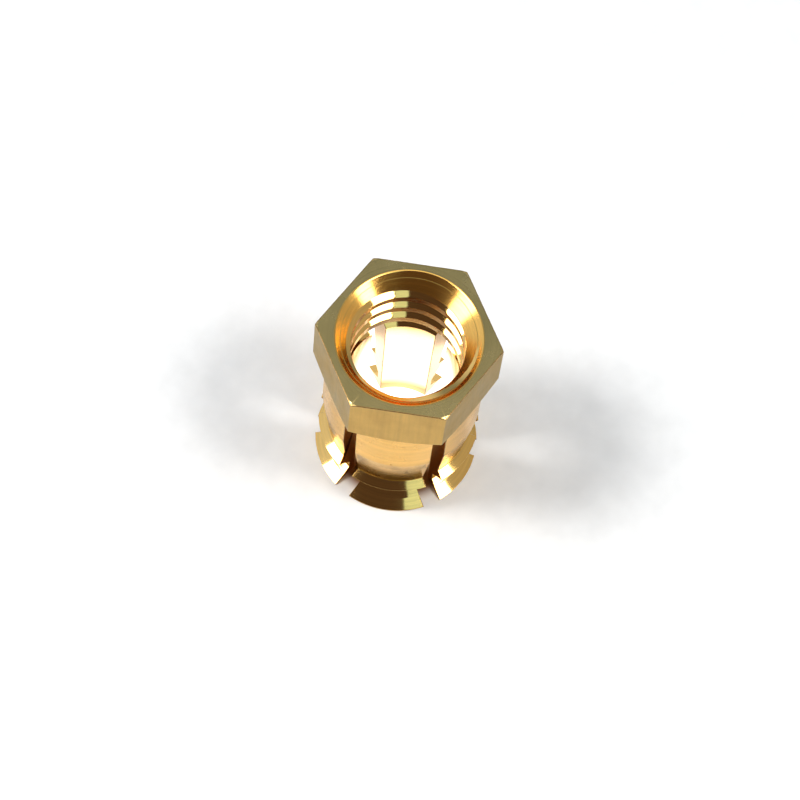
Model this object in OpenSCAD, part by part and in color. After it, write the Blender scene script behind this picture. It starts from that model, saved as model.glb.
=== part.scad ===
// Threaded insert, turned from hexagonal brass bar.
// A hexagonal head carries the thread. Below it, three saw cuts across the sleeve
// leave six spring fingers, and each finger ends in two barbs.
// The insert stands on its finger tips: z = 0 is the plane of the tips,
// the Z axis is the axis of the bore, and +Z points out of the mouth.
// Two corners of the hexagon lie on the X axis.

/* [Overall] */
// Height from the finger tips to the top face
total_h = 10.6; // [9:0.1:14]

/* [Head] */
// Width of the hexagonal bar across its flats
hex_af = 7; // [6.9:0.05:9]
// Height of the head at the middle of a flat
head_h = 3.05; // [2:0.05:3.6]
// Slope of the turned shoulder under the head, from the horizontal
shoulder_angle = 30; // [10:1:45]
// How far the chamfer on the top face reaches in from the corners
corner_cut = 0.14; // [0.02:0.02:0.4]
// Slope of the chamfer on the top face, from the horizontal
corner_angle = 30; // [10:1:45]

/* [Thread and bore] */
// Nominal diameter of the thread, at the bottom of its grooves
thread_d = 6; // [5:0.1:6.2]
// Pitch of the thread
thread_pitch = 1; // [0.5:0.05:1.25]
// Depth of the full thread below the top face
thread_depth = 3.8; // [3:0.1:5]
// Length of the cone that the tap leaves below the full thread
lead_h = 0.35; // [0.1:0.05:0.8]
// Width of the countersunk mouth beyond the thread, on the radius
countersink = 0.225; // [0.1:0.025:0.3]
// Full angle of the countersink
mouth_angle = 90; // [60:5:120]

/* [Sleeve] */
// How far the sleeve is turned down below the flats, on the radius
sleeve_step = 0.03; // [0.01:0.01:0.2]
// Height above the tips at which the straight sleeve starts to taper
taper_z = 4.75; // [3.5:0.05:6]
// Depth of the neck above the upper barb, below the sleeve's surface
neck_depth = 0.3; // [0.1:0.05:0.4]

/* [Barbs] */
// Height of the upper barb's edge above the tips
upper_barb_z = 2.22; // [1.8:0.02:2.8]
// How far the upper barb stands out from the sleeve
upper_barb_out = 0.11; // [0.05:0.01:0.4]
// Depth of the waist between the barbs, below the sleeve's surface
waist_depth = 0.67; // [0.4:0.01:0.8]
// Height above the tips at which the taper under the upper barb ends in the waist
waist_top_z = 1.22; // [0.9:0.02:1.8]
// Height above the tips at which the waist opens towards the lower barb
waist_z = 0.62; // [0.5:0.02:0.8]
// Height above the tips at which the lower barb's flare starts
flare_z = 0.34; // [0.2:0.02:0.44]
// Height of the land round the lower barb's rim
rim_h = 0.08; // [0.04:0.01:0.15]
// How far the lower barb stands out from the sleeve
lower_barb_out = 0.19; // [0.05:0.01:0.4]
// Slope of both barbs' upper faces, from the axis
barb_angle = 62; // [45:1:70]

/* [Saw cuts] */
// Direction of each cut across the sleeve, from the X axis
cut_angles = [0, 56, 124]; // [0:1:180]
// Height of the whole sleeve that is left between the cuts and the head
cut_land = 0.65; // [0.3:0.05:1.5]
// Width of a cut at its closed end
cut_w = 0.63; // [0.4:0.01:0.9]
// How much wider a cut is at the tips, where the fingers stand slightly open
cut_opening = 0.17; // [0:0.01:0.4]

/* [Hidden] */
$fn = 96;
// Pass of a cutting shape beyond the surface that it opens
over = 0.2;

corner_r = hex_af / 2 / cos(30);
sleeve_r = hex_af / 2 - sleeve_step;
neck_r = sleeve_r - neck_depth;
upper_barb_r = sleeve_r + upper_barb_out;
waist_r = sleeve_r - waist_depth;
lower_barb_r = sleeve_r + lower_barb_out;
flare_r = lower_barb_r - (flare_z - rim_h) * tan(barb_angle);
neck_z = upper_barb_z + (upper_barb_r - neck_r) / tan(barb_angle);

thread_r = thread_d / 2;
// Basic minor diameter of an internal metric thread
core_r = (thread_d - 1.0825 * thread_pitch) / 2;
mouth_r = thread_r + countersink;
mouth_h = countersink / tan(mouth_angle / 2);

cut_h = total_h - head_h - cut_land;

// Height of the turned shoulder at radius r; it meets the flats at head_h
function shoulder_z(r) = total_h - head_h + (r - hex_af / 2) * tan(shoulder_angle);
// Height of the top chamfer at radius r
function chamfer_z(r) = total_h - (r - (corner_r - corner_cut)) * tan(corner_angle);

// Hexagonal bar, turned above and below so that its corners are scalloped
module head() {
    outer_r = corner_r + over;
    inner_r = sleeve_r - over;
    intersection() {
        cylinder(r = corner_r, h = total_h, $fn = 6);
        rotate_extrude()
            polygon([
                [0, shoulder_z(inner_r)],
                [inner_r, shoulder_z(inner_r)],
                [outer_r, shoulder_z(outer_r)],
                [outer_r, chamfer_z(outer_r)],
                [corner_r - corner_cut, total_h],
                [0, total_h]
            ]);
    }
}

// Turned sleeve with its taper, neck, waist and two barbs
module sleeve() {
    rotate_extrude()
        polygon([
            [0, 0],
            [lower_barb_r, 0],
            [lower_barb_r, rim_h],
            [flare_r, flare_z],
            [waist_r, waist_z],
            [waist_r, waist_top_z],
            [upper_barb_r, upper_barb_z],
            [neck_r, neck_z],
            [sleeve_r, taper_z],
            [sleeve_r, shoulder_z(sleeve_r) + over],
            [0, shoulder_z(sleeve_r) + over]
        ]);
}

// Drilled hole, wall of the thread's grooves and countersunk mouth
module bore() {
    thread_z = total_h - thread_depth;
    rotate_extrude()
        polygon([
            [0, -over],
            [core_r, -over],
            [core_r, thread_z - lead_h],
            [thread_r, thread_z],
            [thread_r, total_h - mouth_h],
            [mouth_r, total_h],
            [mouth_r, total_h + over],
            [0, total_h + over]
        ]);
}

// One saw cut right across the sleeve, slightly wider at the tips
module saw_cut() {
    root = cut_w / 2;
    tip = root + cut_opening / 2;
    rotate([90, 0, 90])
        linear_extrude(height = 2 * (lower_barb_r + over), center = true)
            polygon([[-tip, -over], [tip, -over], [tip, 0], [root, cut_h], [-root, cut_h], [-tip, 0]]);
}

module threaded_insert() {
    color([0.80, 0.68, 0.40])
        difference() {
            union() {
                head();
                sleeve();
            }
            bore();
            for (angle = cut_angles)
                rotate([0, 0, angle])
                    saw_cut();
        }
}

threaded_insert();
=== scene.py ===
"""Turned brass threaded insert: hexagonal head, tapped bore, six barbed spring fingers.

The piece is machined here in the order a shop would follow. A bar blank is turned under its
hexagonal head, then drilled, countersunk, tapped and sawn, and its burrs are broken.
Sizes inside the classes are millimetres in the frame of the CAD model, and the finished
mesh is scaled to metres once.
"""

import logging
import math
from dataclasses import dataclass
from enum import Enum
from typing import Any

import bmesh
import bpy
from mathutils import Matrix, Vector


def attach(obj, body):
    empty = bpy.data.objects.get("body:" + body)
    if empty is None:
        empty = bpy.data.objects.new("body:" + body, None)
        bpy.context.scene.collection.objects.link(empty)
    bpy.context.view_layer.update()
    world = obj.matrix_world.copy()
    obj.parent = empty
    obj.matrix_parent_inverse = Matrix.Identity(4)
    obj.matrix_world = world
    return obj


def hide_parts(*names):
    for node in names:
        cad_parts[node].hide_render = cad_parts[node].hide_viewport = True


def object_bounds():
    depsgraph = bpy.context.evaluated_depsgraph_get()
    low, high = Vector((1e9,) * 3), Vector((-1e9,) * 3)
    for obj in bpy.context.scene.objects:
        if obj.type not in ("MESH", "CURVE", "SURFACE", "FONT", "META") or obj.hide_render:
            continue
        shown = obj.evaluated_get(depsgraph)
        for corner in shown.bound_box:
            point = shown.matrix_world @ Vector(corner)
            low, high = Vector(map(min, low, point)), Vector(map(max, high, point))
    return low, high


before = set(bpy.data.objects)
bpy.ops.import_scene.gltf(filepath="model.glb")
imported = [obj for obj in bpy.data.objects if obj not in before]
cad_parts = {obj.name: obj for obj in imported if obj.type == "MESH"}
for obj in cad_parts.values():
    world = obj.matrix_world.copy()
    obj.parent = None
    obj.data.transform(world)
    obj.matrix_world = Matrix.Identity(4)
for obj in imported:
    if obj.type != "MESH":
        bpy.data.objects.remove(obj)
CAD_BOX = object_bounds()

MM = 0.001
LOG = logging.getLogger("threaded_insert")
Socket = bpy.types.NodeSocket
Triple = tuple[float, float, float]
Colour = Triple
# Two numbers that belong together, such as where something starts and where it is in full
Span = tuple[float, float]


class Finish(Enum):
    """The finishes of the insert, in the order of the piece's material slots."""

    FACED = 0
    DRAWN = 1
    SLEEVE = 2
    BARB = 3
    EDGE = 4
    COUNTERSINK = 5
    THREAD = 6
    BORE = 7
    SAWN = 8


class ToolMarks(Enum):
    """Which way the fine lines on a surface run."""

    TURNED = "round the axis"
    DRAWN = "along the bar"


# A point of an outline: radius, height, and the finish of the band that ends there
Row = tuple[float, float, Finish]


class Graph:
    """A node tree under construction, with short calls to add and join nodes."""

    def __init__(self, tree: bpy.types.NodeTree) -> None:
        """Keeps the tree to build in.

        Args:
            tree: A shader or geometry node tree.
        """
        self.tree = tree

    def node(self, kind: str, inputs: dict[Any, Any] | None = None, **settings: Any) -> bpy.types.Node:
        """Adds one node.

        Args:
            kind: The node's type name.
            inputs: Values or sockets for its inputs, by name or number.
            **settings: Properties set on the node before its inputs.

        Returns:
            The new node.
        """
        made = self.tree.nodes.new(kind)
        for name, value in settings.items():
            setattr(made, name, value)
        for key, value in (inputs or {}).items():
            if isinstance(value, Socket):
                self.tree.links.new(value, made.inputs[key])
            else:
                made.inputs[key].default_value = value
        return made

    def math(self, operation: str, *values: Any) -> Socket:
        """Adds a Math node.

        Args:
            operation: The node's operation.
            *values: Its one to three operands, numbers or sockets.

        Returns:
            The result's socket.
        """
        return self.node("ShaderNodeMath", dict(enumerate(values)), operation=operation).outputs[0]

    def length(self, x: Socket, y: Socket) -> Socket:
        """Adds the distance of the point at x and y from the origin, and returns its socket."""
        squares = self.math("ADD", self.math("MULTIPLY", x, x), self.math("MULTIPLY", y, y))
        return self.math("SQRT", squares)

    def split(self, vector: Socket) -> Any:
        """Adds a Separate XYZ node and returns its three outputs."""
        return self.node("ShaderNodeSeparateXYZ", {0: vector}).outputs

    def combine(self, x: Any, y: Any, z: Any) -> Socket:
        """Adds a Combine XYZ node and returns its vector."""
        return self.node("ShaderNodeCombineXYZ", {"X": x, "Y": y, "Z": z}).outputs[0]

    def ramp(self, value: Socket, span: Span, levels: Span = (0.0, 1.0), soft: bool = False) -> Socket:
        """Adds a Map Range node, which stays level before its span and past it.

        Args:
            value: What the ramp follows.
            span: Where it starts and where it ends.
            levels: The result before the span and past it.
            soft: True to ease in and out.

        Returns:
            The result's socket.
        """
        limits = {"From Min": span[0], "From Max": span[1], "To Min": levels[0], "To Max": levels[1]}
        easing = "SMOOTHSTEP" if soft else "LINEAR"
        made = self.node("ShaderNodeMapRange", {"Value": value, **limits}, interpolation_type=easing)
        return made.outputs["Result"]

    def mix(self, share: Any, first: Any, second: Any) -> Socket:
        """Adds a Mix node for two colours.

        Args:
            share: How much of the second colour shows, from 0 to 1.
            first: A colour or a socket.
            second: A colour or a socket.

        Returns:
            The mixed colour's socket.
        """
        inputs = {"Factor": share, 6: first, 7: second}
        return self.node("ShaderNodeMix", inputs, data_type="RGBA").outputs[2]


def start_tree(kind: str, name: str, inputs: dict[str, Any], outputs: dict[str, str]) -> tuple[Graph, Any]:
    """Starts a node tree with its own named inputs and outputs.

    Args:
        kind: Geometry or Shader.
        name: The tree's name.
        inputs: Each input's default value, or its socket type where it has none, by name.
        outputs: Each output's socket type, by name.

    Returns:
        The graph and the outputs of its Group Input node.
    """
    graph = Graph(bpy.data.node_groups.new(name, f"{kind}NodeTree"))
    socket_types = {float: "Float", int: "Int", tuple: "Color"}
    for key, value in inputs.items():
        bare = isinstance(value, str)
        wanted = value if bare else socket_types[type(value)]
        made = graph.tree.interface.new_socket(key, in_out="INPUT", socket_type=f"NodeSocket{wanted}")
        if not bare:
            made.default_value = value
    for key, wanted in outputs.items():
        graph.tree.interface.new_socket(key, in_out="OUTPUT", socket_type=f"NodeSocket{wanted}")
    return graph, graph.node("NodeGroupInput").outputs


def add_object(name: str, data: bpy.types.ID) -> bpy.types.Object:
    """Puts a mesh, lamp or camera into the scene.

    Args:
        name: The object's name.
        data: What the object shows.

    Returns:
        The new object.
    """
    made = bpy.data.objects.new(name, data)
    bpy.context.scene.collection.objects.link(made)
    return made


def bake(thing: bpy.types.Object) -> bpy.types.Object:
    """Turns what an object's modifiers make into its own plain mesh.

    Args:
        thing: An object with modifiers.

    Returns:
        The same object, without them.
    """
    bpy.context.view_layer.update()
    evaluated = thing.evaluated_get(bpy.context.evaluated_depsgraph_get())
    mesh = bpy.data.meshes.new_from_object(evaluated)
    thing.modifiers.clear()
    mesh.name = thing.data.name
    thing.data = mesh
    return thing


@dataclass(frozen=True)
class HexHead:
    """The head: drawn hexagonal bar, faced on top, with a turned cone under it."""

    top_z: float = 10.6
    height: float = 3.05
    across_flats: float = 7.0
    # The cones at the corners above and under the head, with their angles to the horizontal
    corner_cut: float = 0.14
    corner_angle: float = 30.0
    shoulder_angle: float = 30.0
    # Rounding of the upright edges, and the broken edges above and below the flats
    corner_round: float = 0.06
    least_round: float = 0.005
    top_edge: float = 0.035
    lower_edge: float = 0.012
    # How far outside the sleeve the cone's last two points lie
    root_steps: Span = (0.02, 0.006)

    @property
    def corner_r(self) -> float:
        """Radius of the hexagon's sharp corners."""
        return self.across_flats / 2 / math.cos(math.pi / 6)

    def radius(self, angle: float, inset: float = 0.0) -> float:
        """Distance from the axis to the hexagon's side, with rounded corners.

        Args:
            angle: Direction in radians; corners lie at multiples of 60 degrees.
            inset: How far the side is moved inwards.

        Returns:
            The distance in millimetres.
        """
        apothem = self.across_flats / 2 - inset
        rounding = max(self.corner_round - inset, self.least_round)
        from_corner = (angle + math.pi / 6) % (math.pi / 3) - math.pi / 6
        from_flat = math.pi / 6 - abs(from_corner)
        if apothem * math.tan(from_flat) <= (apothem - rounding) * math.tan(math.pi / 6):
            return apothem / math.cos(from_flat)
        centre = (apothem - rounding) / math.cos(math.pi / 6)
        across = centre * math.sin(from_corner)
        return centre * math.cos(from_corner) + math.sqrt(rounding**2 - across**2)

    def chamfer_z(self, radius: float) -> float:
        """Height of the top face, or of the cone that takes off the corners, at a radius."""
        beyond = radius - (self.corner_r - self.corner_cut)
        return self.top_z - max(0.0, beyond) * math.tan(math.radians(self.corner_angle))

    def shoulder_z(self, radius: float) -> float:
        """Height of the cone under the head at a radius."""
        rise = (radius - self.across_flats / 2) * math.tan(math.radians(self.shoulder_angle))
        return self.top_z - self.height + rise

    def rows(self, angle: float, sleeve_r: float) -> list[Row]:
        """The head's outline in the half plane at one angle, from the axis outwards and down.

        Args:
            angle: Direction of the half plane in radians.
            sleeve_r: Radius of the sleeve that the cone runs into.

        Returns:
            Radius, height and the finish of the band that ends at each point.
        """
        edge = self.top_edge
        rim = self.radius(angle, edge)
        face_r = min(rim, self.corner_r - self.corner_cut)
        rows = [(face_r, self.top_z, Finish.FACED), (rim, self.chamfer_z(rim), Finish.FACED)]
        for turn in (30, 60, 90):
            a = math.radians(turn)
            inset, drop = edge * (1 - math.sin(a)), edge * (1 - math.cos(a))
            rows.append((self.radius(angle, inset), self.chamfer_z(rim) - drop, Finish.EDGE))
        side = self.radius(angle)
        rows.append((side, self.shoulder_z(side) + self.lower_edge, Finish.DRAWN))
        under = self.radius(angle, self.lower_edge / 2)
        rows.append((under, self.shoulder_z(under), Finish.EDGE))
        for step in self.root_steps:
            rows.append((sleeve_r + step, self.shoulder_z(sleeve_r + step), Finish.SLEEVE))
        return rows


@dataclass(frozen=True)
class Sleeve:
    """The turned sleeve: a plain length, a long taper to a neck, and two barbs."""

    radius: float = 3.47
    start_z: float = 7.52
    taper_z: float = 4.75
    neck_r: float = 3.17
    neck_z: float = 2.438
    upper_barb_r: float = 3.58
    upper_barb_z: float = 2.22
    waist_r: float = 2.8
    waist_top_z: float = 1.22
    waist_z: float = 0.62
    flare_r: float = 3.171
    flare_z: float = 0.34
    lower_barb_r: float = 3.66
    rim_z: float = 0.08
    edge_round: float = 0.018

    def rows(self) -> list[Row]:
        """The sleeve's outline from under the head to the tips, with its edges broken.

        Returns:
            Radius, height and the finish of the band that ends at each point.
        """
        corners = [
            (self.radius, self.start_z, Finish.SLEEVE),
            (self.radius, self.taper_z, Finish.SLEEVE),
            (self.neck_r, self.neck_z, Finish.SLEEVE),
            (self.upper_barb_r, self.upper_barb_z, Finish.BARB),
            (self.waist_r, self.waist_top_z, Finish.BARB),
            (self.waist_r, self.waist_z, Finish.BARB),
            (self.flare_r, self.flare_z, Finish.BARB),
            (self.lower_barb_r, self.rim_z, Finish.BARB),
            (self.lower_barb_r, 0.0, Finish.EDGE),
        ]
        rows = [corners[0]]
        for before, here, after in zip(corners, corners[1:], corners[2:]):
            rows += self._rounded(before, here, after)
        rows.append((self.lower_barb_r - self.edge_round, 0.0, Finish.EDGE))
        return rows

    def _rounded(self, before: Row, here: Row, after: Row) -> list[Row]:
        """Replaces one corner of the outline by a short arc of four points.

        Args:
            before: The corner before it.
            here: The corner to round.
            after: The corner after it.

        Returns:
            The points of the arc.
        """
        # An arc takes at most this share of a side
        most = 0.3
        p, a, b = (Vector(point[:2]) for point in (here, before, after))
        to_a, to_b = a - p, b - p
        reach = min(self.edge_round, most * to_a.length, most * to_b.length)
        first, last = p + to_a.normalized() * reach, p + to_b.normalized() * reach
        rows = []
        for step in range(4):
            t = step / 3
            point = first * (1 - t) ** 2 + p * (2 * t * (1 - t)) + last * t**2
            rows.append((point.x, point.y, here[2]))
        return rows


@dataclass(frozen=True)
class Blank:
    """The bar after turning: head and sleeve as one closed solid, not yet drilled."""

    head: HexHead = HexHead()
    sleeve: Sleeve = Sleeve()
    columns_per_flat: int = 40
    weld: float = 1e-5

    def angles(self) -> list[float]:
        """Directions of the mesh's columns, close together round each corner of the hexagon.

        Returns:
            The directions in radians, in order round the axis.
        """
        close = [math.radians(a) for a in (-0.5, -0.25, 0.0, 0.25, 0.5)]
        step = (math.pi / 3 - 2 * close[-1]) / self.columns_per_flat
        sector = close + [close[-1] + step * n for n in range(1, self.columns_per_flat)]
        return [corner * math.pi / 3 + a for corner in range(6) for a in sector]

    def build(self, finishes: list[bpy.types.Material]) -> bpy.types.Object:
        """Makes the blank's mesh.

        Args:
            finishes: The materials, in the order of Finish.

        Returns:
            The blank as an object, in millimetres.
        """
        angles = self.angles()
        below = self.sleeve.rows()
        columns = [self.head.rows(a, self.sleeve.radius) + below for a in angles]
        count, length = len(angles), len(columns[0])
        points = [(0.0, 0.0, self.head.top_z), (0.0, 0.0, 0.0)]
        top, tips, first = 0, 1, len(points)
        for row in range(length):
            for angle, column in zip(angles, columns):
                r, z = column[row][:2]
                points.append((r * math.cos(angle), r * math.sin(angle), z))
        last = first + (length - 1) * count
        faces: list[tuple[int, ...]] = []
        slots: list[int] = []
        for n in range(count):
            m = (n + 1) % count
            faces += [(top, first + n, first + m), (tips, last + m, last + n)]
            slots += [Finish.FACED.value, Finish.EDGE.value]
            for row in range(length - 1):
                a = first + row * count
                b = a + count
                faces.append((a + n, b + n, b + m, a + m))
                slots.append(columns[n][row + 1][2].value)
        mesh = bpy.data.meshes.new("blank")
        mesh.from_pydata(points, [], faces)
        for finish in finishes:
            mesh.materials.append(finish)
        mesh.polygons.foreach_set("material_index", slots)
        self._close(mesh)
        return add_object("blank", mesh)

    def _close(self, mesh: bpy.types.Mesh) -> None:
        """Merges the points that fall together and turns every face outwards.

        Args:
            mesh: The blank's mesh.
        """
        work = bmesh.new()
        work.from_mesh(mesh)
        bmesh.ops.remove_doubles(work, verts=work.verts, dist=self.weld)
        bmesh.ops.dissolve_degenerate(work, edges=work.edges, dist=self.weld)
        bmesh.ops.recalc_face_normals(work, faces=work.faces)
        work.to_mesh(mesh)
        work.free()


@dataclass(frozen=True)
class Bore:
    """What the drill, the countersink and the tap take out along the axis."""

    core_r: float = 2.459
    root_r: float = 3.0
    mouth_r: float = 3.195
    mouth_half_angle: float = 45.0
    mouth_round: float = 0.11
    step_r: float = 2.93
    step_w: float = 0.025
    nose_r: float = 1.4
    # The thread, with a crest that passes the height crest_z in the direction crest_azimuth
    pitch: float = 1.0
    crest_z: float = 9.17
    crest_azimuth: float = 90.0
    crest_width: float = 0.38
    flank_angle: float = 60.0
    lead_top_z: float = 6.8
    lead_z: float = 6.45
    edge_soften: float = 0.03
    sink_in: float = 0.02
    # How far the tools reach past the metal, so that no cut ends on a surface
    overrun: float = 0.6
    clearance: float = 0.5
    tap_below: float = 0.15
    # How finely the tools are meshed, round the axis and along the thread
    segments: int = 240
    rows_per_pitch: int = 32

    def drill_profile(self, top_z: float) -> list[Span]:
        """Outline of the drill, from the axis below the tips to the axis above the top face.

        Args:
            top_z: Height of the top face.

        Returns:
            Radius and height of each corner.
        """
        low, high = -self.overrun, top_z + self.overrun
        return [(0.0, low), (self.core_r, low), (self.core_r, high), (0.0, high)]

    def countersink_profile(self, top_z: float) -> list[Span]:
        """Outline of the countersink, with its rounded rim and the step that the tool left.

        Args:
            top_z: Height of the top face.

        Returns:
            Radius and height of each corner.
        """
        slope = math.tan(math.radians(self.mouth_half_angle))
        turns = [math.radians(90 - (90 - self.mouth_half_angle) * n / 4) for n in range(5)]
        rim = [
            (
                self.mouth_r - self.mouth_round * math.cos(turn),
                top_z - self.mouth_round * (1 - math.sin(turn)),
            )
            for turn in turns
        ]
        cone_r, cone_z = rim[-1]
        step_z = cone_z - (cone_r - self.step_r) / slope
        nose_z = step_z - (self.step_r - self.step_w - self.nose_r) / slope
        above = top_z + self.overrun / 2
        return [
            (0.0, nose_z - self.nose_r),
            (self.nose_r, nose_z),
            (self.step_r - self.step_w, step_z),
            (self.step_r, step_z),
            *reversed(rim),
            (self.mouth_r + self.clearance, above),
            (0.0, above),
        ]

    def tap_sizes(self, top_z: float) -> dict[str, float]:
        """The tap's sizes, under the names of its tree's inputs.

        Args:
            top_z: Height of the top face.

        Returns:
            The sizes in millimetres and degrees, and the numbers of columns and rows.
        """
        return {
            "Pitch": self.pitch,
            "Core Radius": self.core_r,
            "Root Radius": self.root_r,
            "Crest Width": self.crest_width,
            "Crest Height": self.crest_z,
            "Crest Azimuth": self.crest_azimuth,
            "Flank Slope": math.tan(math.radians(self.flank_angle)),
            "Bottom": self.lead_z - self.tap_below,
            "Top": top_z + self.overrun,
            "Lead Top": self.lead_top_z,
            "Lead Slope": (self.root_r - self.core_r) / (self.lead_top_z - self.lead_z),
            "Soften": self.edge_soften,
            "Sink": self.sink_in,
            "Segments": self.segments,
            "Rows Per Pitch": self.rows_per_pitch,
        }


@dataclass(frozen=True)
class SawCuts:
    """Three saw cuts right across the sleeve, a little wider at the tips.

    The opening is how much wider, and the kerfs are drawn from below the tips to the height.
    """

    angles: Triple = (0.0, 56.0, 124.0)
    width: float = 0.63
    opening: float = 0.17
    height: float = 6.9
    below: float = 0.5
    reach: float = 6.0
    broken_edge: float = 0.02

    def sizes(self) -> dict[str, float]:
        """The cuts' sizes, under the names of their tree's inputs.

        Returns:
            The sizes in millimetres and degrees.
        """
        turns = dict(zip(("First Angle", "Second Angle", "Third Angle"), self.angles))
        kerf = {"Width": self.width, "Opening": self.opening, "Reach": self.reach}
        return {**kerf, "Height": self.height, "Below": self.below, **turns}


@dataclass(frozen=True)
class Machining:
    """Geometry node trees that make the tools, and the cuts that they make in the blank."""

    bore: Bore
    cuts: SawCuts
    head: HexHead

    @staticmethod
    def _grid(graph: Graph, segments: Socket, rows: Socket) -> tuple[Socket, Any]:
        """Starts a tree with a flat grid, to be wrapped round the axis.

        Args:
            graph: The tree.
            segments: How many columns of faces go round the axis.
            rows: How many rows of points lie along it.

        Returns:
            The grid, and each point's X and Y in it, from -0.5 to 0.5.
        """
        columns = graph.math("ADD", segments, 1.0)
        sizes = {"Size X": 1.0, "Size Y": 1.0, "Vertices X": columns, "Vertices Y": rows}
        mesh = graph.node("GeometryNodeMeshGrid", sizes).outputs["Mesh"]
        return mesh, graph.split(graph.node("GeometryNodeInputPosition").outputs[0])

    @staticmethod
    def _wrap(graph: Graph, mesh: Socket, radius: Socket, angle: Socket, z: Socket, given: Any) -> None:
        """Ends a tree: moves a grid's points round the axis and closes the seam and the poles.

        Args:
            graph: The tree.
            mesh: The grid.
            radius: Each point's distance from the axis.
            angle: Each point's direction.
            z: Each point's height.
            given: The tree's inputs, with Material among them.
        """
        seam = 1e-4
        x = graph.math("MULTIPLY", radius, graph.math("COSINE", angle))
        y = graph.math("MULTIPLY", radius, graph.math("SINE", angle))
        places = {"Geometry": mesh, "Position": graph.combine(x, y, z)}
        moved = graph.node("GeometryNodeSetPosition", places).outputs[0]
        closed = graph.node("GeometryNodeMergeByDistance", {"Geometry": moved, "Distance": seam})
        Machining._dress(graph, closed.outputs[0], given)

    @staticmethod
    def _dress(graph: Graph, shape: Socket, given: Any) -> None:
        """Ends a tree with its realized shape in its material.

        Args:
            graph: The tree.
            shape: The finished shape.
            given: The tree's inputs, with Material among them.
        """
        real = graph.node("GeometryNodeRealizeInstances", {0: shape}).outputs[0]
        worn = {"Geometry": real, "Material": given["Material"]}
        dressed = graph.node("GeometryNodeSetMaterial", worn)
        graph.node("NodeGroupOutput", {0: dressed.outputs[0]})

    @staticmethod
    def revolve_tree(sizes: dict[str, float]) -> bpy.types.NodeTree:
        """Builds the tree that turns a line of vertices into a closed solid of revolution.

        Args:
            sizes: The tree's inputs, by name.

        Returns:
            The tree.
        """
        inputs = {"Profile": "Geometry", **sizes, "Material": "Material"}
        graph, given = start_tree("Geometry", "Revolved tool", inputs, {"Geometry": "Geometry"})
        m = graph.math
        line = given["Profile"]
        count = graph.node("GeometryNodeAttributeDomainSize", {0: line}).outputs["Point Count"]
        mesh, place = Machining._grid(graph, given["Segments"], count)
        angle = m("MULTIPLY_ADD", place["X"], math.tau, math.pi)
        row = m("MULTIPLY", m("ADD", place["Y"], 0.5), m("SUBTRACT", count, 1.0))
        corner = {"Geometry": line, "Index": m("ROUND", row)}
        sample = graph.node("GeometryNodeSampleIndex", corner, data_type="FLOAT_VECTOR")
        position = graph.node("GeometryNodeInputPosition").outputs[0]
        graph.tree.links.new(position, sample.inputs["Value"])
        radius, _, z = graph.split(sample.outputs["Value"])
        Machining._wrap(graph, mesh, radius, angle, z, given)
        return graph.tree

    @staticmethod
    def tap_tree(sizes: dict[str, float]) -> bpy.types.NodeTree:
        """Builds the tree that makes the tap, whose mesh rows follow the thread's helix.

        Args:
            sizes: The tree's inputs, by name.

        Returns:
            The tree.
        """
        inputs = {**sizes, "Material": "Material"}
        graph, given = start_tree("Geometry", "Threading tap", inputs, {"Geometry": "Geometry"})
        m = graph.math
        pitch, bottom, top = given["Pitch"], given["Bottom"], given["Top"]
        core_r, root_r = given["Core Radius"], given["Root Radius"]
        step = m("DIVIDE", pitch, given["Rows Per Pitch"])
        rows = m("CEIL", m("DIVIDE", m("ADD", m("SUBTRACT", top, bottom), pitch), step))
        last = m("ADD", rows, 2.0)
        mesh, place = Machining._grid(graph, given["Segments"], m("ADD", last, 1.0))
        # Each row climbs by one pitch in one turn, and is held between the two ends
        turn = m("ADD", place["X"], 0.5)
        row = m("ROUND", m("MULTIPLY", m("ADD", place["Y"], 0.5), last))
        along = m("MULTIPLY", m("SUBTRACT", row, 1.0), step)
        start = m("SUBTRACT", bottom, pitch)
        z = m("MULTIPLY_ADD", turn, pitch, m("ADD", start, along))
        z = m("MINIMUM", m("MAXIMUM", z, bottom), top)
        # The thread's section: a flat crest, straight flanks and a root, with soft edges
        shift = m("MULTIPLY", m("DIVIDE", given["Crest Azimuth"], 360.0), pitch)
        crest = m("SUBTRACT", given["Crest Height"], shift)
        half = m("MULTIPLY", pitch, 0.5)
        past_crest = m("SUBTRACT", m("ADD", start, along), crest)
        from_crest = m("ABSOLUTE", m("WRAP", past_crest, half, m("MULTIPLY", half, -1.0)))
        flank = m("SUBTRACT", from_crest, m("MULTIPLY", given["Crest Width"], 0.5))
        wave = m("MULTIPLY_ADD", flank, given["Flank Slope"], core_r)
        wave = m("SMOOTH_MIN", wave, root_r, given["Soften"])
        wave = m("SMOOTH_MAX", wave, m("SUBTRACT", core_r, given["Sink"]), given["Soften"])
        # The lead cone below, and a steep cone that closes the tap above the top face
        above_lead = m("SUBTRACT", z, given["Lead Top"])
        lead = m("MULTIPLY_ADD", above_lead, given["Lead Slope"], root_r)
        end_slope, end_step = 3.0, 0.1
        to_top = m("SUBTRACT", top, z)
        close = m("MULTIPLY_ADD", to_top, end_slope, m("SUBTRACT", core_r, end_step))
        radius = m("MINIMUM", m("MINIMUM", wave, lead), close)
        # The first and the last row lie on the axis and close the tap's ends
        below_last = m("LESS_THAN", row, m("SUBTRACT", last, 0.5))
        inside = m("MULTIPLY", m("GREATER_THAN", row, 0.5), below_last)
        radius = m("MULTIPLY", radius, inside)
        Machining._wrap(graph, mesh, radius, m("MULTIPLY", turn, math.tau), z, given)
        return graph.tree

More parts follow.
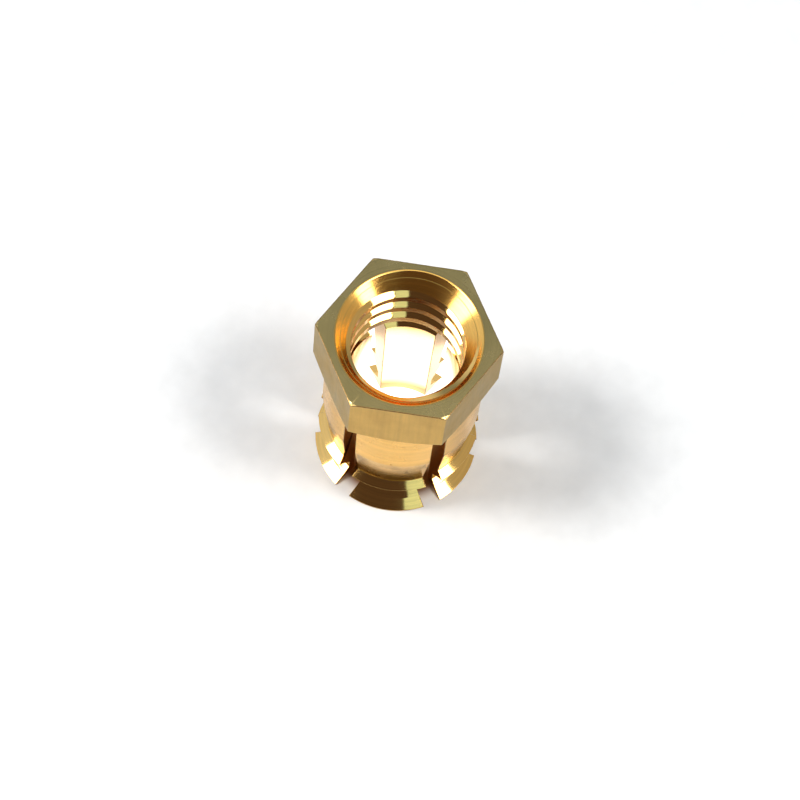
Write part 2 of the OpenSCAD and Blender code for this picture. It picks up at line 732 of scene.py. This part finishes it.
    @staticmethod
    def saw_tree(sizes: dict[str, float]) -> bpy.types.NodeTree:
        """Builds the tree that lays one kerf across the axis at each cut's angle.

        Args:
            sizes: The tree's inputs, by name.

        Returns:
            The tree.
        """
        inputs = {**sizes, "Material": "Material"}
        graph, given = start_tree("Geometry", "Saw cuts", inputs, {"Geometry": "Geometry"})
        m = graph.math
        height, below = given["Height"], given["Below"]
        cube = graph.node("GeometryNodeMeshCube", {"Size": (1.0, 1.0, 1.0)}).outputs[0]
        place = graph.split(graph.node("GeometryNodeInputPosition").outputs[0])
        share = m("ADD", place["Z"], 0.5)
        z = m("SUBTRACT", m("MULTIPLY", share, m("ADD", height, below)), below)
        open_here = m("MULTIPLY", given["Opening"], m("SUBTRACT", 1.0, m("DIVIDE", z, height)))
        x = m("MULTIPLY", place["X"], m("MULTIPLY", given["Reach"], 2.0))
        y = m("MULTIPLY", place["Y"], m("ADD", given["Width"], open_here))
        corners = {"Geometry": cube, "Position": graph.combine(x, y, z)}
        kerf = graph.node("GeometryNodeSetPosition", corners).outputs[0]
        spots = graph.node("GeometryNodeMeshLine", {"Count": 3, "Offset": (0.0, 0.0, 0.0)})
        index = graph.node("GeometryNodeInputIndex").outputs[0]
        pick = graph.node("GeometryNodeIndexSwitch", {"Index": index}, data_type="FLOAT")
        pick.index_switch_items.new()
        for number, name in enumerate(("First Angle", "Second Angle", "Third Angle")):
            graph.tree.links.new(m("RADIANS", given[name]), pick.inputs[number + 1])
        turn = graph.combine(0.0, 0.0, pick.outputs[0])
        laid = graph.node(
            "GeometryNodeInstanceOnPoints",
            {"Points": spots.outputs[0], "Instance": kerf, "Rotation": turn},
        )
        real = graph.node("GeometryNodeRealizeInstances", {0: laid.outputs[0]}).outputs[0]
        kerfs = {"Mesh 2": real, "Self Intersection": True}
        joined = graph.node("GeometryNodeMeshBoolean", kerfs, operation="UNION", solver="EXACT")
        Machining._dress(graph, joined.outputs[0], given)
        return graph.tree

    @staticmethod
    def _tool(
        name: str,
        line: list[Span],
        tree: bpy.types.NodeTree,
        sizes: dict[str, float],
        finish: bpy.types.Material,
    ) -> bpy.types.Object:
        """Runs a tree on a line of vertices and keeps the result as a plain mesh.

        Args:
            name: The tool's name.
            line: X and Z of each vertex.
            tree: The geometry node tree.
            sizes: The tree's inputs, by name.
            finish: What the tool leaves on the metal.

        Returns:
            The tool, as a closed solid.
        """
        mesh = bpy.data.meshes.new(name)
        mesh.from_pydata([(x, 0.0, z) for x, z in line], [], [])
        tool = add_object(name, mesh)
        modifier = tool.modifiers.new(tree.name, "NODES")
        modifier.node_group = tree
        values = {**sizes, "Material": finish}
        for item in tree.interface.items_tree:
            if item.in_out == "INPUT" and item.name in values:
                modifier[item.identifier] = values[item.name]
        return bake(tool)

    def tools(self, finishes: list[bpy.types.Material]) -> list[bpy.types.Object]:
        """Makes the drill, countersink, tap and saw cuts as closed solids.

        Args:
            finishes: The materials, in the order of Finish.

        Returns:
            The tools, in the order in which they cut.
        """
        top_z = self.head.top_z
        point = [(0.0, 0.0)]
        drill, sink = self.bore.drill_profile(top_z), self.bore.countersink_profile(top_z)
        turned = {"Segments": self.bore.segments}
        revolve = self.revolve_tree(turned)
        tap, saw = self.bore.tap_sizes(top_z), self.cuts.sizes()
        return [
            self._tool("drill", drill, revolve, turned, finishes[Finish.BORE.value]),
            self._tool("countersink", sink, revolve, turned, finishes[Finish.COUNTERSINK.value]),
            self._tool("tap", point, self.tap_tree(tap), tap, finishes[Finish.THREAD.value]),
            self._tool("saw", point, self.saw_tree(saw), saw, finishes[Finish.SAWN.value]),
        ]

    @staticmethod
    def cut(blank: bpy.types.Object, tools: list[bpy.types.Object]) -> None:
        """Takes each tool out of the blank in turn, and removes the tool.

        Args:
            blank: The solid to machine.
            tools: Closed solids in the order in which they cut.
        """
        for tool in tools:
            modifier = blank.modifiers.new(tool.name, "BOOLEAN")
            modifier.operation, modifier.solver, modifier.object = "DIFFERENCE", "EXACT", tool
            modifier.material_mode = "TRANSFER"
            bake(blank)
            LOG.info("cut with the %s: %d faces", tool.name, len(blank.data.polygons))
            bpy.data.objects.remove(tool)

    def break_saw_edges(self, piece: bpy.types.Object) -> None:
        """Takes the burr off each edge that the saw left, as one narrow flat.

        Args:
            piece: The machined object.
        """
        least_corner = math.radians(25)
        weld, least_edge = 2e-4, 1e-4
        work = bmesh.new()
        work.from_mesh(piece.data)
        sawn = Finish.SAWN.value
        edges = [
            edge
            for edge in work.edges
            if len(edge.link_faces) == 2
            and [face.material_index for face in edge.link_faces].count(sawn) == 1
            and edge.calc_face_angle() > least_corner
        ]
        bmesh.ops.bevel(
            work,
            geom=edges,
            offset=self.cuts.broken_edge,
            offset_type="OFFSET",
            segments=1,
            profile=0.5,
            affect="EDGES",
            clamp_overlap=False,
            material=Finish.EDGE.value,
        )
        bmesh.ops.remove_doubles(work, verts=work.verts, dist=weld)
        bmesh.ops.dissolve_degenerate(work, edges=work.edges, dist=least_edge)
        walls = [face for face in work.faces if face.material_index == sawn]
        bmesh.ops.triangulate(work, faces=walls)
        work.to_mesh(piece.data)
        work.free()


@dataclass(frozen=True)
class ShaderParts:
    """The shader node groups that the finishes share, each built once."""

    tone: bpy.types.NodeTree
    turned: bpy.types.NodeTree
    drawn: bpy.types.NodeTree
    specks: bpy.types.NodeTree

    @classmethod
    def build(cls) -> "ShaderParts":
        """Builds the groups and returns them, ready to place in materials."""
        return cls(cls._tone(), cls._turned(), cls._drawn(), cls._specks())

    @staticmethod
    def _tone() -> bpy.types.NodeTree:
        """Brass colour that drifts between clean metal and a thin tarnish in soft clouds.

        Returns:
            The group.
        """
        inputs = {
            "Vector": "Vector",
            "Clean": (0.88, 0.6, 0.22, 1.0),
            "Tarnish": (0.5, 0.36, 0.16, 1.0),
            "Amount": 0.3,
            "Scale": 600.0,
        }
        outputs = {"Color": "Color", "Cloud": "Float"}
        graph, given = start_tree("Shader", "Brass tone", inputs, outputs)
        clouds = {"Vector": given["Vector"], "Scale": given["Scale"], "Detail": 4.0, "Roughness": 0.6}
        noise = graph.node("ShaderNodeTexNoise", clouds).outputs["Fac"]
        clear_to_dull, thinnest = (0.35, 0.7), 0.2
        cloud = graph.ramp(noise, clear_to_dull)
        film = graph.math("MULTIPLY", graph.math("ADD", cloud, thinnest), given["Amount"])
        mixed = graph.mix(graph.math("MINIMUM", film, 1.0), given["Clean"], given["Tarnish"])
        graph.node("NodeGroupOutput", {"Color": mixed, "Cloud": cloud})
        return graph.tree

    @staticmethod
    def _lines(graph: Graph, place: Socket, roughness: float) -> None:
        """Ends a group of tool marks, which lie where noise is read at stretched places.

        Args:
            graph: The group.
            place: Where the noise is read.
            roughness: How much finer lines show in it.
        """
        inputs = {"Vector": place, "Scale": 1.0, "Detail": 3.0, "Roughness": roughness}
        noise = graph.node("ShaderNodeTexNoise", inputs).outputs["Fac"]
        bottom_to_top = (0.3, 0.65)
        graph.node("NodeGroupOutput", {"Height": graph.ramp(noise, bottom_to_top)})

    @staticmethod
    def _turned() -> bpy.types.NodeTree:
        """Tool marks that run round the axis, as fine rings of uneven depth.

        Returns:
            The group.
        """
        inputs = {"Vector": "Vector", "Lines": 20000.0, "Around": 0.6}
        graph, given = start_tree("Shader", "Turned lines", inputs, {"Height": "Float"})
        x, y, z = graph.split(given["Vector"])
        out = graph.math("MULTIPLY", graph.length(x, y), given["Lines"])
        up = graph.math("MULTIPLY", z, given["Lines"])
        wander = graph.math("MULTIPLY", graph.math("SINE", graph.math("ARCTAN2", y, x)), given["Around"])
        ShaderParts._lines(graph, graph.combine(out, up, wander), roughness=0.6)
        return graph.tree

    @staticmethod
    def _drawn() -> bpy.types.NodeTree:
        """Die lines that run along the bar, as fine streaks parallel to the axis.

        Returns:
            The group.
        """
        inputs = {"Vector": "Vector", "Lines": 12000.0, "Length": 0.04}
        graph, given = start_tree("Shader", "Drawn lines", inputs, {"Height": "Float"})
        x, y, z = graph.split(given["Vector"])
        along = graph.math("MULTIPLY", given["Lines"], given["Length"])
        streak = graph.combine(
            graph.math("MULTIPLY", x, given["Lines"]),
            graph.math("MULTIPLY", y, given["Lines"]),
            graph.math("MULTIPLY", z, along),
        )
        ShaderParts._lines(graph, streak, roughness=0.65)
        return graph.tree

    @staticmethod
    def _specks() -> bpy.types.NodeTree:
        """Small nicks and grains, as a mask that is 1 on a few scattered spots.

        Returns:
            The group.
        """
        inputs = {"Vector": "Vector", "Scale": 3000.0, "Share": 0.1}
        graph, given = start_tree("Shader", "Specks", inputs, {"Mask": "Float"})
        where = {"Vector": given["Vector"], "Scale": given["Scale"]}
        cells = graph.node("ShaderNodeTexVoronoi", where).outputs
        edge_to_middle = (0.35, 0.1)
        spot = graph.ramp(cells["Distance"], edge_to_middle)
        lot = graph.node("ShaderNodeSeparateColor", {0: cells["Color"]}).outputs[0]
        drawn = graph.math("LESS_THAN", lot, given["Share"])
        graph.node("NodeGroupOutput", {"Mask": graph.math("MULTIPLY", spot, drawn)})
        return graph.tree


@dataclass(frozen=True)
class BrassFinish:
    """One machined or drawn brass surface."""

    name: str
    clean: Colour
    roughness: float
    # How much rougher the metal is where it is tarnished or nicked
    drift: float
    # About how many tool marks lie on a metre, and how deep they look
    lines: float
    bump: float
    tarnish: Colour = (0.6, 0.38, 0.12)
    tarnish_amount: float = 0.2
    marks: ToolMarks = ToolMarks.TURNED
    speck_share: float = 0.03
    # Painted shade towards the bottom, as the heights where it starts and where it is in full
    painted_shade: Span | None = None
    edge_tint: Colour = (1.0, 1.0, 1.0)

    def _colour(self, graph: Graph, tone: Socket, lines: Socket) -> Socket:
        """Paints shade into the bottom of each line, darkening the metal a little.

        Args:
            graph: The material's graph.
            tone: The drifting brass colour.
            lines: The height of the tool marks.

        Returns:
            The colour's socket.
        """
        line_share, line_tone = 0.35, 0.55
        # Painted shade in the bottom of the tool marks
        groove_shade = graph.math("MULTIPLY", graph.math("SUBTRACT", 1.0, lines), line_share)
        return graph.mix(groove_shade, tone, (*(line_tone * c for c in self.clean), 1.0))

    def material(self, parts: ShaderParts) -> bpy.types.Material:
        """Builds the material.

        Args:
            parts: The shared shader groups.

        Returns:
            The material.
        """
        # In metres for a line, and in lines for a speck
        line_depth, speck_depth = 1.5e-6, 0.6
        made = bpy.data.materials.new(self.name)
        made.use_nodes = True
        made.diffuse_color = (*self.clean, 1.0)
        graph = Graph(made.node_tree)
        shader = made.node_tree.nodes["Principled BSDF"].inputs
        shader["Metallic"].default_value = 1.0
        shader["Specular Tint"].default_value = (*self.edge_tint, 1.0)
        place = graph.node("ShaderNodeTexCoord").outputs["Object"]
        amount: Any = self.tarnish_amount
        # Painted shade: the tarnish colour rises to full strength towards the bottom
        if self.painted_shade:
            band = (self.painted_shade[0] * MM, self.painted_shade[1] * MM)
            levels = (self.tarnish_amount, 1.0)
            amount = graph.ramp(graph.split(place)["Z"], band, levels, soft=True)
        colours = {"Clean": (*self.clean, 1.0), "Tarnish": (*self.tarnish, 1.0), "Amount": amount}
        inputs = {"Vector": place, **colours}
        tone = graph.node("ShaderNodeGroup", inputs, node_tree=parts.tone).outputs
        pattern = parts.turned if self.marks is ToolMarks.TURNED else parts.drawn
        inputs = {"Vector": place, "Lines": self.lines}
        lines = graph.node("ShaderNodeGroup", inputs, node_tree=pattern).outputs["Height"]
        inputs = {"Vector": place, "Share": self.speck_share}
        specks = graph.node("ShaderNodeGroup", inputs, node_tree=parts.specks).outputs["Mask"]
        dull = graph.math("ADD", tone["Cloud"], specks)
        rough = graph.math("MULTIPLY_ADD", dull, self.drift, self.roughness)
        height = graph.math("SUBTRACT", lines, graph.math("MULTIPLY", specks, speck_depth))
        inputs = {"Height": height, "Strength": self.bump, "Distance": line_depth}
        bump = graph.node("ShaderNodeBump", inputs).outputs[0]
        links = made.node_tree.links
        links.new(self._colour(graph, tone["Color"], lines), shader["Base Color"])
        links.new(rough, shader["Roughness"])
        links.new(bump, shader["Normal"])
        return made


BRASS = (0.88, 0.56, 0.18)
FINISHES: dict[Finish, BrassFinish] = {
    Finish.FACED: BrassFinish(
        name="Brass_Faced",
        clean=(0.66, 0.48, 0.18),
        tarnish=(0.48, 0.37, 0.17),
        tarnish_amount=0.5,
        roughness=0.2,
        drift=0.1,
        lines=26000.0,
        bump=0.3,
    ),
    Finish.DRAWN: BrassFinish(
        name="Brass_Drawn",
        clean=(0.7, 0.41, 0.09),
        tarnish=(0.51, 0.3, 0.08),
        tarnish_amount=0.5,
        roughness=0.3,
        drift=0.12,
        marks=ToolMarks.DRAWN,
        lines=7000.0,
        bump=0.6,
        # The bluish tint at grazing angles is a painted reflection of the cool shaded paper that the side
        # flats mirror
        edge_tint=(0.6, 0.75, 0.85),
    ),
    Finish.SLEEVE: BrassFinish(
        name="Brass_Turned",
        # This dark colour is the tarnish, and in full towards the bottom it is the painted shade of the
        # taper and the neck
        clean=(0.92, 0.53, 0.12),
        tarnish=(0.3, 0.165, 0.015),
        tarnish_amount=0.12,
        roughness=0.22,
        drift=0.1,
        lines=7000.0,
        bump=0.4,
        speck_share=0.0,
        painted_shade=(5.3, 4.2),
    ),
    Finish.BARB: BrassFinish("Brass_Barbs", BRASS, roughness=0.05, drift=0.06, lines=12000.0, bump=0.35),
    # The broken edges are darker brown as painted shade, which draws thin dark outlines along the tips and
    # the head's edges
    Finish.EDGE: BrassFinish(
        name="Brass_Edges",
        clean=(0.46, 0.27, 0.09),
        tarnish=(0.28, 0.15, 0.05),
        tarnish_amount=0.4,
        roughness=0.2,
        drift=0.1,
        lines=16000.0,
        bump=0.2,
    ),
    Finish.COUNTERSINK: BrassFinish(
        name="Brass_Countersink",
        clean=(0.92, 0.53, 0.13),
        roughness=0.15,
        drift=0.05,
        lines=9000.0,
        bump=0.6,
    ),
    Finish.THREAD: BrassFinish("Brass_Thread", BRASS, roughness=0.04, drift=0.04, lines=26000.0, bump=0.15),
    Finish.BORE: BrassFinish(
        name="Brass_Bore",
        clean=(0.88, 0.57, 0.2),
        tarnish=(0.7, 0.45, 0.18),
        tarnish_amount=0.1,
        roughness=0.1,
        drift=0.04,
        lines=16000.0,
        bump=0.1,
    ),
    Finish.SAWN: BrassFinish(
        name="Brass_Sawn",
        clean=(0.8, 0.46, 0.13),
        tarnish=(0.55, 0.27, 0.07),
        tarnish_amount=0.4,
        roughness=0.14,
        drift=0.06,
        marks=ToolMarks.DRAWN,
        lines=9000.0,
        bump=0.15,
    ),
}


@dataclass(frozen=True)
class Insert:
    """The threaded insert itself."""

    blank: Blank = Blank()
    bore: Bore = Bore()
    cuts: SawCuts = SawCuts()
    # Where faces meet more sharply than this, in degrees, their shading breaks
    sharp_angle: float = 30.0
    # How far wide faces outweigh narrow ones in the shading, from 1 to 100
    face_weight: int = 90

    def build(self, parts: ShaderParts) -> bpy.types.Object:
        """Machines the insert, dresses it and puts it on its body.

        Args:
            parts: The shared shader groups.

        Returns:
            The finished piece, in metres.
        """
        finishes = [FINISHES[kind].material(parts) for kind in Finish]
        piece = self.blank.build(finishes)
        machining = Machining(self.bore, self.cuts, self.blank.head)
        machining.cut(piece, machining.tools(finishes))
        machining.break_saw_edges(piece)
        piece.name = piece.data.name = "Insert_Body"
        piece.data.shade_smooth()
        for face in piece.data.polygons:
            face.use_smooth = face.material_index != Finish.SAWN.value
        piece.data.set_sharp_from_angle(angle=math.radians(self.sharp_angle))
        self._even_shading(piece)
        piece.data.transform(Matrix.Scale(MM, 4))
        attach(piece, "root")
        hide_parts("threaded_insert")
        return piece

    def _even_shading(self, piece: bpy.types.Object) -> None:
        """Lets each wide face keep its own normal, so that only the broken edges look round.

        Args:
            piece: The machined object, with its sharp edges marked.
        """
        modifier = piece.modifiers.new("Even shading", "WEIGHTED_NORMAL")
        modifier.mode, modifier.weight, modifier.keep_sharp = "FACE_AREA", self.face_weight, True
        bake(piece)


def direction(azimuth: float, elevation: float) -> Vector:
    """The unit vector towards a compass direction, in degrees from +X and from the floor."""
    a, e = math.radians(azimuth), math.radians(elevation)
    return Vector((math.cos(e) * math.cos(a), math.cos(e) * math.sin(a), math.sin(e)))


class LampRole(Enum):
    """Whether the metal mirrors a lamp, and whether it lights matt surfaces such as the paper."""

    KEY = (False, True)
    CARD = (True, False)
    WINDOW = (True, True)


@dataclass(frozen=True)
class SoftLamp:
    """One flat lamp that faces the insert, with its place in degrees and its sizes in metres."""

    name: str
    role: LampRole
    azimuth: float
    elevation: float
    width: float
    height: float
    power: float
    colour: Colour = (1.0, 0.98, 0.95)
    distance: float = 0.25

    def build(self, target: Vector) -> None:
        """Makes the lamp.

        Args:
            target: The point that it faces.
        """
        data = bpy.data.lights.new(self.name, "AREA")
        data.shape = "ELLIPSE" if self.role is LampRole.KEY else "RECTANGLE"
        data.size, data.size_y = self.width, self.height
        data.energy, data.color = self.power, self.colour
        lamp = add_object(self.name, data)
        towards = direction(self.azimuth, self.elevation)
        lamp.location = target + towards * self.distance
        lamp.rotation_euler = towards.to_track_quat("Z", "Y").to_euler()
        lamp.visible_glossy, lamp.visible_diffuse = self.role.value


@dataclass(frozen=True)
class Paper:
    """The sheet of white paper that the insert stands on.

    Its size is in metres. Its patches glow only for the camera and for mirrors, so they light
    nothing matt. Their spans are millimetres on the paper, and each patch fades in from the
    first number to the second.
    """

    size: float = 0.8
    colour: Colour = (0.86, 0.86, 0.86)
    fibre_scale: float = 900.0
    fibre_tones: Span = (0.96, 1.02)
    # All round the insert, to the paper's edge
    glow: float = 0.03
    glow_reach: Span = (3.3, 3.8)
    # Under the bore: a spot that the thread mirrors, a part that is white to the camera alone,
    # and a dim rest
    under_bore: Span = (2.9, 2.5)
    spot_glow: float = 4.5
    spot_y: float = 0.85
    spot_reach: Span = (1.6, 1.15)
    white_y: Span = (0.6, 1.0)
    dim_glow: float = 0.3
    dim_y: Span = (-1.6, -0.9)
    # Just behind the insert, seen in the walls of the back slots
    behind_glow: float = 1.8
    behind_y: Span = (1.6, 2.4)
    behind_x: Span = (3.6, 3.0)
    behind_reach: Span = (6.0, 4.6)
    # The glow under the front half of the bore is warm
    warm: Colour = (1.0, 0.66, 0.34)
    warm_y: Span = (-0.35, -0.7)
    warm_reach: Span = (3.3, 3.2)
    # The paper that the insert stands on is painted a deep brown shade
    shade: Colour = (0.2, 0.09, 0.03)
    shade_reach: Span = (3.4, 2.7)

    @staticmethod
    def _fade(graph: Graph, value: Socket, span: Span) -> Socket:
        """Rises softly from 0 to 1 along a span of millimetres, for a value in metres."""
        return graph.ramp(value, (span[0] * MM, span[1] * MM), soft=True)

    def _glow(self, graph: Graph, place: Any, reach: Socket) -> Socket:
        """How strongly the paper glows at each place.

        Args:
            graph: The material's graph.
            place: X and Y on the paper.
            reach: The distance from the axis.

        Returns:
            The strength's socket.
        """
        m, y = graph.math, place["Y"]
        ray = graph.node("ShaderNodeLightPath").outputs
        from_spot = graph.length(place["X"], m("SUBTRACT", y, self.spot_y * MM))
        spot = m("MULTIPLY", self._fade(graph, from_spot, self.spot_reach), self.spot_glow)
        white = m("MULTIPLY", ray["Is Camera Ray"], self._fade(graph, y, self.white_y))
        dim = m("MULTIPLY", self._fade(graph, y, self.dim_y), self.dim_glow)
        under = m("MAXIMUM", m("MAXIMUM", spot, white), dim)
        under = m("MULTIPLY", under, self._fade(graph, reach, self.under_bore))
        around = m("MULTIPLY", self._fade(graph, reach, self.glow_reach), self.glow)
        sides = self._fade(graph, m("ABSOLUTE", place["X"]), self.behind_x)
        near = m("MULTIPLY", sides, self._fade(graph, reach, self.behind_reach))
        behind = m("MULTIPLY", self._fade(graph, y, self.behind_y), near)
        behind = m("MULTIPLY", behind, self.behind_glow)
        seen = m("MAXIMUM", ray["Is Camera Ray"], ray["Is Glossy Ray"])
        return m("MULTIPLY", seen, m("MAXIMUM", m("MAXIMUM", under, around), behind))

    def _material(self) -> bpy.types.Material:
        """Builds the paper's material.

        Returns:
            The material.
        """
        made = bpy.data.materials.new("White_Paper")
        made.use_nodes = True
        graph = Graph(made.node_tree)
        nodes = made.node_tree.nodes
        nodes.remove(nodes["Principled BSDF"])
        spot = graph.node("ShaderNodeTexCoord").outputs["Object"]
        place = graph.split(spot)
        reach = graph.length(place["X"], place["Y"])
        noise = {"Vector": spot, "Scale": self.fibre_scale, "Detail": 5.0}
        fibres = graph.node("ShaderNodeTexNoise", noise).outputs["Fac"]
        thin_to_thick = (0.3, 0.7)
        tone = graph.ramp(fibres, thin_to_thick, self.fibre_tones)
        tint = {n: graph.math("MULTIPLY", tone, c) for n, c in enumerate(self.colour)}
        sheet = graph.node("ShaderNodeCombineColor", tint).outputs[0]
        # Painted shade on the paper where the insert stands
        painted_shade_share = self._fade(graph, reach, self.shade_reach)
        matt = {"Color": graph.mix(painted_shade_share, sheet, (*self.shade, 1.0))}
        in_front = self._fade(graph, place["Y"], self.warm_y)
        warmth = graph.math("MULTIPLY", self._fade(graph, reach, self.warm_reach), in_front)
        tinge = graph.mix(warmth, (1.0, 1.0, 1.0, 1.0), (*self.warm, 1.0))
        lit = {"Color": tinge, "Strength": self._glow(graph, place, reach)}
        shaders = {
            0: graph.node("ShaderNodeBsdfDiffuse", matt).outputs[0],
            1: graph.node("ShaderNodeEmission", lit).outputs[0],
        }
        both = graph.node("ShaderNodeAddShader", shaders).outputs[0]
        made.node_tree.links.new(both, nodes["Material Output"].inputs["Surface"])
        return made

    def build(self) -> None:
        """Lays the sheet."""
        half = self.size / 2
        corners = [(-half, -half, 0), (half, -half, 0), (half, half, 0), (-half, half, 0)]
        mesh = bpy.data.meshes.new("Paper")
        mesh.from_pydata(corners, [], [(0, 1, 2, 3)])
        mesh.materials.append(self._material())
        add_object("Paper", mesh)


@dataclass(frozen=True)
class Studio:
    """White paper, soft lamps, the room and the camera."""

    paper: Paper = Paper()
    lamps: tuple[SoftLamp, ...] = (
        SoftLamp("Key_Left", LampRole.KEY, 187, 54, 0.07, 0.07, 0.385, (1.0, 0.99, 0.97)),
        SoftLamp("Key_Right", LampRole.KEY, 349, 59, 0.07, 0.07, 0.285),
        SoftLamp("Card_Left", LampRole.CARD, 203, 42.5, 0.111, 0.129, 0.54),
        SoftLamp("Card_Right", LampRole.CARD, 332, 43, 0.09, 0.133, 0.44),
        SoftLamp("Low_Left", LampRole.CARD, 204, 18, 0.11, 0.05, 0.125),
        SoftLamp("Low_Right", LampRole.CARD, 337, 19, 0.079, 0.05, 0.1),
        SoftLamp("High_Right", LampRole.CARD, 326, 63, 0.08, 0.045, 0.012),
        SoftLamp("Card_Top", LampRole.CARD, 268, 89, 0.17, 0.17, 0.092, (1.0, 0.95, 0.85)),
        SoftLamp("Window", LampRole.WINDOW, 303, 47, 0.054, 0.14, 0.031, (0.6, 0.88, 0.95)),
    )
    # The share of the insert's height that the lamps face
    lamp_aim: float = 0.6
    # The camera: lens, place in millimetres, and the direction from which it looks, in degrees
    focal: float = 135.0
    sensor: float = 36.0
    eye: Triple = (0.612, -54.054, 125.025)
    azimuth: float = -89.31
    elevation: float = 65.92
    roll: float = 7.73

    def build(self, top_z: float) -> None:
        """Makes the camera, the paper, the room and the lamps.

        Args:
            top_z: Height of the insert in metres.
        """
        self._camera()
        self.paper.build()
        self._room()
        for lamp in self.lamps:
            lamp.build(Vector((0.0, 0.0, self.lamp_aim * top_z)))

    def _camera(self) -> None:
        """Makes the camera and sets the scene's view transform."""
        data = bpy.data.cameras.new("Camera")
        data.lens, data.sensor_width = self.focal, self.sensor
        data.clip_start, data.clip_end = 0.005, 5.0
        camera = add_object("Camera", data)
        level = direction(self.azimuth, self.elevation).to_track_quat("Z", "Y").to_matrix().to_4x4()
        roll = Matrix.Rotation(math.radians(self.roll), 4, "Z")
        camera.matrix_world = Matrix.Translation(Vector(self.eye) * MM) @ level @ roll
        bpy.context.scene.camera = camera
        bpy.context.scene.view_settings.view_transform = "Standard"

    @staticmethod
    def _room() -> None:
        """Makes the room: a dim cool ceiling, paler sides and back, and a dark warm front."""
        world = bpy.data.worlds.new("Room")
        bpy.context.scene.world = world
        world.use_nodes = True
        graph = Graph(world.node_tree)
        towards = graph.split(graph.node("ShaderNodeTexCoord").outputs["Generated"])
        # The front is browner near the floor
        high_to_low = (0.62, 0.25)
        low = graph.ramp(towards["Z"], high_to_low, soft=True)
        front = graph.mix(low, (0.095, 0.064, 0.05, 1.0), (0.11, 0.075, 0.04, 1.0))
        # Each side's axis, where on the unit sphere it starts and is in full, and its colour
        sides = (
            ("X", (-0.55, -0.74), (0.84, 0.9, 1.0, 1.0)),
            ("X", (0.55, 0.78), (0.55, 0.52, 0.46, 1.0)),
            ("Y", (0.85, 0.95), (0.9, 0.92, 0.95, 1.0)),
            ("Y", (-0.27, -0.43), front),
        )
        room: Any = (0.3, 0.36, 0.42, 1.0)
        for axis, span, colour in sides:
            room = graph.mix(graph.ramp(towards[axis], span, soft=True), room, colour)
        world.node_tree.links.new(room, world.node_tree.nodes["Background"].inputs["Color"])


def main() -> None:
    """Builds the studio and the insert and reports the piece."""
    logging.basicConfig(level=logging.INFO)
    Studio().build(CAD_BOX[1][2])
    piece = Insert().build(ShaderParts.build())
    LOG.info("%s: %d faces", piece.name, len(piece.data.polygons))


if __name__ == "__main__":
    main()
